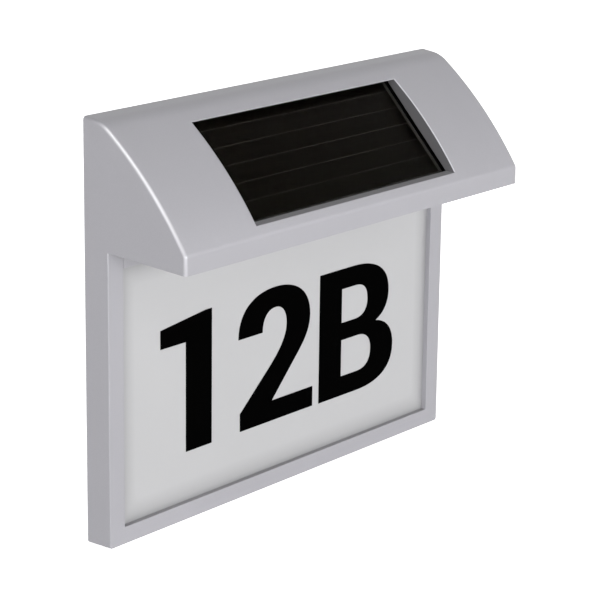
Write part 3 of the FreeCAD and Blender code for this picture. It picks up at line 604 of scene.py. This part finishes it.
spin_step = 0.9
base_bottom, base_screw = 111.0, (2.4, 1.4, 1.3, 8.0)
case_bearing, case_screw = 2.2, (2.5, 1.8, 1.4, 10.0)
door_bearing, door_screw = 1.6, (2.1, 1.2, 1.1, 7.5)
screw_pieces = [
    screws("hood_base_screws", "base_screws", [(-83.3, 41.3, base_bottom), (83.3, 41.3, base_bottom)],
           (0, 0, -1), base_screw, 0.3),
    screws("back_screws", "case_screws",
           [(x, case_bearing, height) for x in (-93.5, 93.5) for height in (117.5, 146.3)],
           (0, -1, 0), case_screw, 0.7),
    screws("battery_door_screws", "door_screws", [(-61.8, door_bearing, 127.5), (61.8, door_bearing, 127.5)],
           (0, -1, 0), door_screw, 0.1),
]

# %% [markdown]
# ## Surface effects
# Several finishes share the same small irregularities, so these are node groups with their own inputs: a
# grain, for the flakes of silver paint and the texture of moulded plastic, and a soft mottling for the faint
# unevenness of any real surface. Each gives numbers only, and the material decides what they change.

# %% Node groups
def noise(tree, vector, scale, detail, roughness=0.5):
    node = tree.nodes.new("ShaderNodeTexNoise")
    node.inputs["Detail"].default_value = detail
    node.inputs["Roughness"].default_value = roughness
    tree.links.new(scale, node.inputs["Scale"])
    tree.links.new(vector, node.inputs["Vector"])
    return node.outputs["Fac"]


def math_node(tree, operation, a, b, clamp=False):
    node = tree.nodes.new("ShaderNodeMath")
    node.operation, node.use_clamp = operation, clamp
    for value, slot in zip((a, b), node.inputs):
        if isinstance(value, (int, float)):
            slot.default_value = value
        else:
            tree.links.new(value, slot)
    return node.outputs[0]


def effect(name, given, results):
    """A new group with the given number inputs and their defaults, and the named results. Returns also its
    input sockets, its result sockets, the place on the piece, and a noise's scale from the size in mm."""
    group = bpy.data.node_groups.new(name, "ShaderNodeTree")
    for key, value in given.items():
        made = group.interface.new_socket(name=key, in_out="INPUT", socket_type="NodeSocketFloat")
        made.default_value = value
    for key in results:
        group.interface.new_socket(name=key, in_out="OUTPUT", socket_type="NodeSocketFloat")
    start, end = group.nodes.new("NodeGroupInput"), group.nodes.new("NodeGroupOutput")
    spot = group.nodes.new("ShaderNodeTexCoord")
    scale = math_node(group, "DIVIDE", 1 / MM, start.outputs["Size mm"])
    print("effect", name, list(given), "->", results)
    return group, start.outputs, end.inputs, spot.outputs["Object"], scale


def grain_group():
    """Grain: a fine noise of the given size in mm. Value is clipped to 0 to 1, and Height is for a bump."""
    group, given, results, spot, scale = effect("fine_grain", {"Size mm": 0.3, "Contrast": 1.0},
                                                ("Value", "Height"))
    height = noise(group, spot, scale, 2.0)
    centred = math_node(group, "SUBTRACT", height, 0.5)
    stretched = math_node(group, "MULTIPLY", centred, given["Contrast"])
    group.links.new(math_node(group, "ADD", stretched, 0.5, True), results["Value"])
    group.links.new(height, results["Height"])
    return group


def mottle_group():
    """Mottling: a broad, soft noise of the given size in mm, from 0 to 1 about its middle."""
    group, given, results, spot, scale = effect("soft_mottle", {"Size mm": 30.0}, ("Value",))
    group.links.new(noise(group, spot, scale, 3.0, 0.55), results["Value"])
    return group


grain, mottle = grain_group(), mottle_group()


def use(tree, group, **values):
    node = tree.nodes.new("ShaderNodeGroup")
    node.node_tree = group
    for name, value in values.items():
        node.inputs[name.replace("_", " ")].default_value = value
    return node.outputs


def blank(name, **settings):
    """A material with one Principled shader, whose constant values are set on its own sockets."""
    material = bpy.data.materials.new(name)
    material.use_nodes = True
    shader = material.node_tree.nodes["Principled BSDF"]
    for key, value in settings.items():
        shader.inputs[key.replace("_", " ")].default_value = value
    print("finish", name)
    return material, material.node_tree, shader


def ramp(tree, factor, low, high):
    """Mixes two colours by a factor of 0 to 1. The first may come from another node."""
    node = tree.nodes.new("ShaderNodeMix")
    node.data_type = "RGBA"
    if isinstance(low, tuple):
        node.inputs["A"].default_value = (*low, 1)
    else:
        tree.links.new(low, node.inputs["A"])
    node.inputs["B"].default_value = (*high, 1)
    tree.links.new(factor, node.inputs["Factor"])
    return node.outputs["Result"]


def span(tree, value, low, high):
    """Stretches a value of 0 to 1 to the range from low to high."""
    node = tree.nodes.new("ShaderNodeMapRange")
    node.inputs["To Min"].default_value, node.inputs["To Max"].default_value = low, high
    tree.links.new(value, node.inputs["Value"])
    return node.outputs["Result"]


def parts_of(tree, vector):
    """The X, Y and Z of a vector."""
    node = tree.nodes.new("ShaderNodeSeparateXYZ")
    tree.links.new(vector, node.inputs["Vector"])
    return node.outputs


def gloss(tree, shader, value, low, high):
    """Roughness from low to high, by a value of 0 to 1."""
    tree.links.new(span(tree, value, low, high), shader.inputs["Roughness"])


def bump(tree, shader, height, distance_mm, strength):
    node = tree.nodes.new("ShaderNodeBump")
    node.inputs["Strength"].default_value = strength
    node.inputs["Distance"].default_value = distance_mm * MM
    tree.links.new(height, node.inputs["Height"])
    tree.links.new(node.outputs["Normal"], shader.inputs["Normal"])


# %% [markdown]
# ## Silver paint
# The moulding is sprayed with a satin silver. Under the clear binder lie tiny flakes, so the paint is partly
# metallic, has a fine sparkle, and its gloss is soft. Along the rounded end edges a painted highlight is
# added:
# there the colour is lightened towards near white and made more metallic, which draws a white line of light.
# The edges are found by the surface's normal: with n for its part across the sign, the mask is 4 n^2 (1 -
# n^2), which is 0 on the faces and 1 halfway round an edge. The painted highlight starts below the brow and
# fades towards the lip.

# %% Silver paint
silver, tree, shader = blank("silver_paint", IOR=1.45, Specular_IOR_Level=0.12)
flakes = use(tree, grain, Size_mm=0.22, Contrast=2.2)
cloud = use(tree, mottle, Size_mm=38.0)
tone = math_node(tree, "ADD", math_node(tree, "MULTIPLY", flakes["Value"], 0.6),
                 math_node(tree, "MULTIPLY", cloud["Value"], 0.4))
# painted highlight: a mask of the rounded end edges, faded by height
facing = tree.nodes.new("ShaderNodeTexCoord")
sideways = math_node(tree, "ABSOLUTE", parts_of(tree, facing.outputs["Normal"])["X"], 0.0)
squared = math_node(tree, "POWER", sideways, 2.0)
painted_edge_highlight = math_node(tree, "MULTIPLY", math_node(tree, "MULTIPLY", squared, 4.0),
                    math_node(tree, "SUBTRACT", 1.0, squared), True)
level = parts_of(tree, facing.outputs["Object"])["Z"]
below_lip, mid_curve, on_roof, on_brow = hood_edge - 6, hood_edge + 22, sign_height - 1.2, sign_height - 3.5
for none_at, full_at in ((below_lip, mid_curve), (on_roof, on_brow)):
    fade = tree.nodes.new("ShaderNodeMapRange")
    fade.inputs["From Min"].default_value = (none_at - sign_height / 2) * MM
    fade.inputs["From Max"].default_value = (full_at - sign_height / 2) * MM
    tree.links.new(level, fade.inputs["Value"])
    painted_edge_highlight = math_node(tree, "MULTIPLY", painted_edge_highlight, fade.outputs["Result"])
painted = ramp(tree, tone, (0.456, 0.450, 0.482), (0.516, 0.510, 0.544))
# painted highlight: on the edges the colour is lightened to near white
tree.links.new(ramp(tree, painted_edge_highlight, painted, (0.76, 0.755, 0.79)), shader.inputs["Base Color"])
tree.links.new(span(tree, painted_edge_highlight, 0.12, 0.42), shader.inputs["Metallic"])
gloss(tree, shader, cloud["Value"], 0.28, 0.33)
bump(tree, shader, use(tree, grain, Size_mm=1.6)["Height"], 0.02, 0.25)

# %% [markdown]
# ## Opal panel
# Light enters the clear sheet behind the panel from above and leaves through the opal plastic. Unlit, the
# panel is a soft white. Its colour is darkened in the last millimetres before the frame, a painted shade for
# the shade that falls along the window's edge. The darkening goes with the root of the distance to the
# window's edge. A smooth minimum joins the distances to the sides and to the top and bottom, so that the

# %% Opal panel
opal, tree, shader = blank("opal_plastic", Roughness=0.38, IOR=1.49)
window_middle = bottom_border + (window_top - bottom_border) / 2 - sign_height / 2
window_half_x = half_width - side_border
window_half_z = (window_top - bottom_border) / 2
painted_shade_width, corner_blend = 8.0, 4.0
spot = tree.nodes.new("ShaderNodeTexCoord")
parts = parts_of(tree, spot.outputs["Object"])


def edge_distance(axis, middle, reach):
    """How far a point lies inside the window's edge along one axis, in metres."""
    away = math_node(tree, "ABSOLUTE", math_node(tree, "SUBTRACT", parts[axis], middle * MM), 0.0)
    return math_node(tree, "SUBTRACT", reach * MM, away)


nearest = math_node(tree, "SMOOTH_MIN", edge_distance("X", 0.0, window_half_x),
                    edge_distance("Z", window_middle, window_half_z))
nearest.node.inputs[2].default_value = corner_blend * MM
# painted shade: the panel's colour darkens towards the window's edge
fade = math_node(tree, "DIVIDE", nearest, painted_shade_width * MM, True)
fade = math_node(tree, "POWER", fade, 0.5)
tree.links.new(ramp(tree, fade, (0.36, 0.36, 0.37), (0.615, 0.615, 0.625)), shader.inputs["Base Color"])
bump(tree, shader, use(tree, grain, Size_mm=0.8)["Height"], 0.01, 0.15)

# %% [markdown]
# ## Moulded plastics, rubber and metal
# The back and the underside are bare grey plastic with the fine texture of an eroded mould. The same recipe,
# with other colours, grain sizes and gloss, serves the black switch, the figures, the seals, the leads and
# the two darker greys painted as shade in the recess.

# %% Plastics
def moulded(name, dark, light, grain_mm, rough, strength=0.35, **settings):
    material, tree, shader = blank(name, **settings)
    texture = use(tree, grain, Size_mm=grain_mm, Contrast=1.6)
    cloud = use(tree, mottle, Size_mm=25.0)
    tone = math_node(tree, "ADD", math_node(tree, "MULTIPLY", texture["Value"], 0.5),
                     math_node(tree, "MULTIPLY", cloud["Value"], 0.5))
    tree.links.new(ramp(tree, tone, dark, light), shader.inputs["Base Color"])
    gloss(tree, shader, texture["Value"], rough - 0.06, rough + 0.06)
    bump(tree, shader, texture["Height"], 0.05, strength)
    return material


# painted shade: darker copies of the silver for the walls of the recess and the window's sill
side_painted_shade = moulded("recess_side_painted_shade", (0.15, 0.147, 0.155), (0.20, 0.197, 0.205), 0.35, 0.55, 0.15,
                    Specular_IOR_Level=0.2)
ledge_painted_shade = moulded("recess_ledge_painted_shade", (0.33, 0.325, 0.34), (0.39, 0.385, 0.40), 0.35, 0.55, 0.15,
                     Specular_IOR_Level=0.2)
grey = moulded("grey_plastic", (0.30, 0.30, 0.315), (0.37, 0.37, 0.385), 0.35, 0.55)
black = moulded("black_plastic", (0.012, 0.012, 0.013), (0.022, 0.022, 0.023), 0.3, 0.48)
vinyl = moulded("black_vinyl", (0.0006, 0.0006, 0.0006), (0.0015, 0.0015, 0.0015), 0.6, 0.7, 0.1,
                Specular_IOR_Level=0.02, IOR=1.1)
rubber = moulded("seal_rubber", (0.02, 0.02, 0.02), (0.035, 0.035, 0.035), 0.5, 0.8)
foam = moulded("foam_tape", (0.004, 0.004, 0.004), (0.008, 0.008, 0.008), 0.25, 0.85, Specular_IOR_Level=0.05)
white = moulded("white_sheet", (0.80, 0.80, 0.80), (0.86, 0.86, 0.86), 0.6, 0.6, 0.1)
board_green = moulded("circuit_board", (0.02, 0.13, 0.05), (0.03, 0.18, 0.07), 0.8, 0.35, 0.2)
led_cream = moulded("led_case", (0.78, 0.74, 0.55), (0.85, 0.80, 0.60), 0.2, 0.4, 0.1)
sleeve = moulded("cell_case", (0.05, 0.10, 0.20), (0.07, 0.13, 0.25), 0.4, 0.3, 0.1)
lead_red = moulded("lead_insulation", (0.22, 0.015, 0.015), (0.28, 0.02, 0.02), 0.5, 0.5)


def metal(name, colour, brighter, rough):
    """Plated steel: fully metallic, with the fine unevenness of a tumbled, plated surface."""
    material, tree, shader = blank(name, Metallic=1.0)
    texture = use(tree, grain, Size_mm=0.12, Contrast=1.5)
    tree.links.new(ramp(tree, texture["Value"], colour, brighter), shader.inputs["Base Color"])
    gloss(tree, shader, texture["Value"], rough - 0.05, rough + 0.08)
    bump(tree, shader, texture["Height"], 0.01, 0.3)
    return material


steel = metal("screw_steel", (0.48, 0.48, 0.48), (0.60, 0.60, 0.59), 0.32)
nickel = metal("spring_steel", (0.60, 0.59, 0.56), (0.70, 0.69, 0.66), 0.25)

# %% [markdown]
# ## The solar module
# Dark thin film lies on the back of a clear cover. It is split into six strips, and the carrier behind shows
# faintly between them and as a border round them. The carrier is a tray whose thin rim stands up round the
# cover, and a black seal fills the narrow gap above that rim.

# %% Block on the slope
glass_gap, glass_thickness, film_thickness = 0.2, 1.8, 0.2
cover_low, cover_high = -shift + glass_gap, slope_length - shift - glass_gap
cover_half = solar_half - glass_gap
film_front = -recess_depth - glass_thickness
cover_edge, cover_lift, hairline = 0.3, 0.03, 0.02
INWARD = np.array([[1, 1], [-1, 1], [-1, -1], [1, -1]])


def corners_of(half, low, high):
    return np.array([[-half, low], [half, low], [half, high], [-half, high]])


def slab(shell, half, low, high, under, front, edge=0.0):
    """A block in the recess with rounded front edges: each ring keeps the outline, drawn in by the edge
    radius times 1 - cos and lowered by it times 1 - sin of an angle that runs over a quarter circle."""
    corners = corners_of(half, low, high)
    rings = [slope_points(*corners.T, under)]
    for angle in np.linspace(0, math.pi / 2, 5) if edge else [0.0]:
        drawn = corners + INWARD * edge * (1 - math.cos(angle))
        rings.append(slope_points(*drawn.T, front - edge * (1 - math.sin(angle))))
    shell.closed(np.stack(rings))


cover = Shell()
slab(cover, cover_half, cover_low, cover_high, film_front + cover_lift, -recess_depth, cover_edge)
cover_piece = cover.mesh("solar_cover_sheet")
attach(cover_piece, "sign")
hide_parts("solar_glass")


# %% Film strips on their carrier
def gap_ring(under, front):
    """A closed loop of rectangular section in the gap: four corners carried round the cover's outline."""
    inner = corners_of(cover_half, cover_low, cover_high)
    outer = inner - INWARD * glass_gap
    rings = [(inner, under), (outer, under), (outer, front), (inner, front), (inner, under)]
    return np.stack([slope_points(*corners.T, off) for corners, off in rings])


film_half, film_edge, film_gap, film_pitch, film_first = 57.8, 1.0, 0.3, 7.65, 2.4
strip_count, rim_top = 6, -3.9
carrier = Shell()
slab(carrier, cover_half, cover_low, cover_high, floor_off, film_front - film_thickness)
carrier.grid(gap_ring(floor_off, rim_top), around=True)
carrier_piece = carrier.mesh("solar_carrier")
strips = Shell()
for number in range(strip_count):
    strip_low = max(cover_low + film_edge, film_first + film_pitch * (number - 1) + film_gap / 2)
    strip_high = min(cover_high - film_edge, film_first + film_pitch * number - film_gap / 2)
    slab(strips, film_half, strip_low, strip_high, film_front - film_thickness, film_front - hairline)
strips_piece = strips.mesh("solar_strips")
for piece in (carrier_piece, strips_piece):
    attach(piece, "sign")
    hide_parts("solar_film")

# %% Seal round the cover
seal_sunk = 0.25
seal = Shell()
seal.grid(gap_ring(rim_top + hairline, -recess_depth - seal_sunk), around=True)
seal_piece = seal.mesh("module_seal")
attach(seal_piece, "sign")
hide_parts("solar_tape")

# %% Finishes of the module
glass, tree, shader = blank("solar_cover", Transmission_Weight=1.0, IOR=1.05, Specular_IOR_Level=0.1,
                            Base_Color=(0.86, 0.86, 0.85, 1))
gloss(tree, shader, use(tree, mottle, Size_mm=30.0)["Value"], 0.02, 0.06)
clear, tree, shader = blank("clear_acrylic", Transmission_Weight=1.0, IOR=1.49,
                            Base_Color=(0.95, 0.97, 0.97, 1))
gloss(tree, shader, use(tree, mottle, Size_mm=40.0)["Value"], 0.03, 0.08)
film_dark = moulded("solar_film", (0.0020, 0.0016, 0.0010), (0.0028, 0.0022, 0.0013), 0.5, 0.5, 0.0,
                    Specular_IOR_Level=0.03, IOR=1.03)
carrier_dark = moulded("solar_carrier", (0.030, 0.029, 0.028), (0.038, 0.037, 0.035), 0.5, 0.6, 0.0,
                       Specular_IOR_Level=0.03, IOR=1.03)

# %% [markdown]
# ## Every piece gets its finish
# The walls of the recess and the sill of the window take two darker greys instead of the silver, as painted
# shade: the side walls the darker one, the other walls and the sill the lighter. Those faces are found by
# where their middles lie.

# %% Finishes of the CAD pieces and the moulding
finishes = {
    "number_panel": opal, "light_guide": clear, "reflector_sheet": white, "back_plate": grey,
    "led_board": board_green, "leds": led_cream,
    "hood_base": grey, "control_board": board_green, "board_components": black,
    "switch_body": black, "switch_slider": black, "battery_cells": sleeve, "battery_contacts": nickel,
    "battery_door": grey, "door_seal": rubber, "board_screws": steel, "solar_leads": lead_red,
    "battery_leads": lead_red, "led_leads": lead_red, "switch_leads": lead_red,
}


def dress(piece, material):
    piece.data.materials.clear()
    piece.data.materials.append(material)


for name, material in finishes.items():
    dress(nodes[name], material)
dress(moulding, silver)
for material in (side_painted_shade, ledge_painted_shade):
    moulding.data.materials.append(material)
print("dressed", len(finishes) + 1, "pieces")

# %% Painted shade in the recess
polygons = moulding.data.polygons
middles, outwards = np.zeros(len(polygons) * 3), np.zeros(len(polygons) * 3)
polygons.foreach_get("center", middles)
polygons.foreach_get("normal", outwards)
x, depth, height = (middles.reshape(-1, 3) / MM * [1, -1, 1] + [0, 0, sign_height / 2]).T
away = np.stack([depth, height], -1) - upper_rim
along, off = away @ slope_run, away @ slope_off
bulge = np.sqrt(curve_radius ** 2 - (along - slope_length / 2) ** 2) - chord_height
in_recess = (np.abs(x) < solar_half + near) & (off < bulge - rim_radius) & (off > floor_off - near) \
    & (along > -shift - near) & (along < slope_length + near)
on_sill = (np.abs(height - bottom_border) < near) & (depth > flange_rear) & (depth < frame_depth)
sideways = np.abs(outwards.reshape(-1, 3)[:, 0]) > 0.5
# painted shade: the side walls of the recess take the darkest grey, its other walls and the sill a lighter
# one
polygons.foreach_set("material_index", np.where(in_recess & sideways, 1, np.where(in_recess | on_sill, 2, 0)))
print("recess faces", int(in_recess.sum()), "sill faces", int(on_sill.sum()))

# %% Finishes of the new pieces
new_finishes = [(cover_piece, glass), (strips_piece, film_dark), (carrier_piece, carrier_dark),
                (seal_piece, foam)]
new_finishes += [(piece, vinyl) for piece in figures] + [(piece, steel) for piece in screw_pieces]
for piece, material in new_finishes:
    dress(piece, material)
print("dressed", len(new_finishes), "new pieces")

# %% [markdown]
# ## Floor, world and lamps
# The photograph shows the sign cut out on white. The floor and the world are therefore white where the
# camera, a reflection or clear plastic looks at them, and a plain grey for the light they give. Large soft
# lamps in front, on both sides and behind light the faces, and a narrow one, high on the left, adds its
# light to the painted highlight that draws the white line along the rounded edge of the hood.

# %% Floor and world
def seen_directly(tree):
    """1 for a ray from the camera, a reflection or clear plastic, and 0 for a ray of plain light."""
    rays = tree.nodes.new("ShaderNodeLightPath")
    seen = math_node(tree, "ADD", rays.outputs["Is Camera Ray"], rays.outputs["Is Glossy Ray"], True)
    return math_node(tree, "ADD", seen, rays.outputs["Is Transmission Ray"], True)


floor_data = bpy.data.meshes.new("floor")
reach, floor_gap = 3.0, 0.2
bottom = housing_low.z - floor_gap * MM
floor_data.from_pydata([(-reach, -reach, bottom), (reach, -reach, bottom), (reach, reach, bottom),
                        (-reach, reach, bottom)], [], [(0, 1, 2, 3)])
floor = in_scene("floor", floor_data)

paper, tree, shader = blank("floor_paper", Base_Color=(0.8, 0.8, 0.8, 1), Roughness=0.9)
glow = tree.nodes.new("ShaderNodeEmission")
glow.inputs["Strength"].default_value = 0.92
both = tree.nodes.new("ShaderNodeAddShader")
choice = tree.nodes.new("ShaderNodeMixShader")
tree.links.new(shader.outputs[0], both.inputs[0])
tree.links.new(glow.outputs[0], both.inputs[1])
tree.links.new(seen_directly(tree), choice.inputs["Fac"])
tree.links.new(shader.outputs[0], choice.inputs[1])
tree.links.new(both.outputs[0], choice.inputs[2])
tree.links.new(choice.outputs[0], tree.nodes["Material Output"].inputs["Surface"])
floor_data.materials.append(paper)

world = bpy.data.worlds.new("studio")
bpy.context.scene.world = world
world.use_nodes = True
tree = world.node_tree
back = tree.nodes["Background"]
back.inputs["Color"].default_value = (1, 1, 1, 1)
tree.links.new(span(tree, seen_directly(tree), 0.07, 1.0), back.inputs["Strength"])


# %% Lamps
def lamp(name, towards, along, distance, size, watts):
    """A soft rectangular lamp in a direction from the sign's middle, at a distance in metres, that faces the
    sign. Its first size lies along the given direction."""
    data = bpy.data.lights.new(name, "AREA")
    data.shape, data.size, data.size_y, data.energy = "RECTANGLE", *size, watts
    lamp_object = in_scene(name, data)
    direction = np.array(towards, float)
    direction /= np.linalg.norm(direction)
    side = np.array(along, float) - np.dot(along, direction) * direction
    side /= np.linalg.norm(side)
    matrix = np.eye(4)
    matrix[:3, 0], matrix[:3, 1], matrix[:3, 2] = side, np.cross(direction, side), direction
    matrix[:3, 3] = direction * distance
    lamp_object.matrix_world = Matrix(matrix.tolist())
    lamp_object.visible_camera = False
    print(name, watts, "W at", matrix[:3, 3].round(2))


lamp("front_lamp", (-0.35, -0.93, -0.12), (1, 0, 0), 1.6, (1.4, 1.2), 37.5)
lamp("right_lamp", (0.55, -0.82, 0.30), (0, 0, 1), 1.6, (1.2, 1.2), 5.6)
lamp("left_lamp", (-0.97, -0.22, 0.05), (0, 0, 1), 1.6, (1.0, 1.0), 8.8)
lamp("edge_lamp", (-0.59, -0.25, 0.76), (-0.15, -0.62, -0.33), 1.5, (1.1, 0.12), 3.3)
lamp("back_lamp", (0.25, 0.96, 0.12), (1, 0, 0), 1.7, (1.4, 1.0), 26.0)

bpy.context.scene.view_settings.view_transform = "Standard"
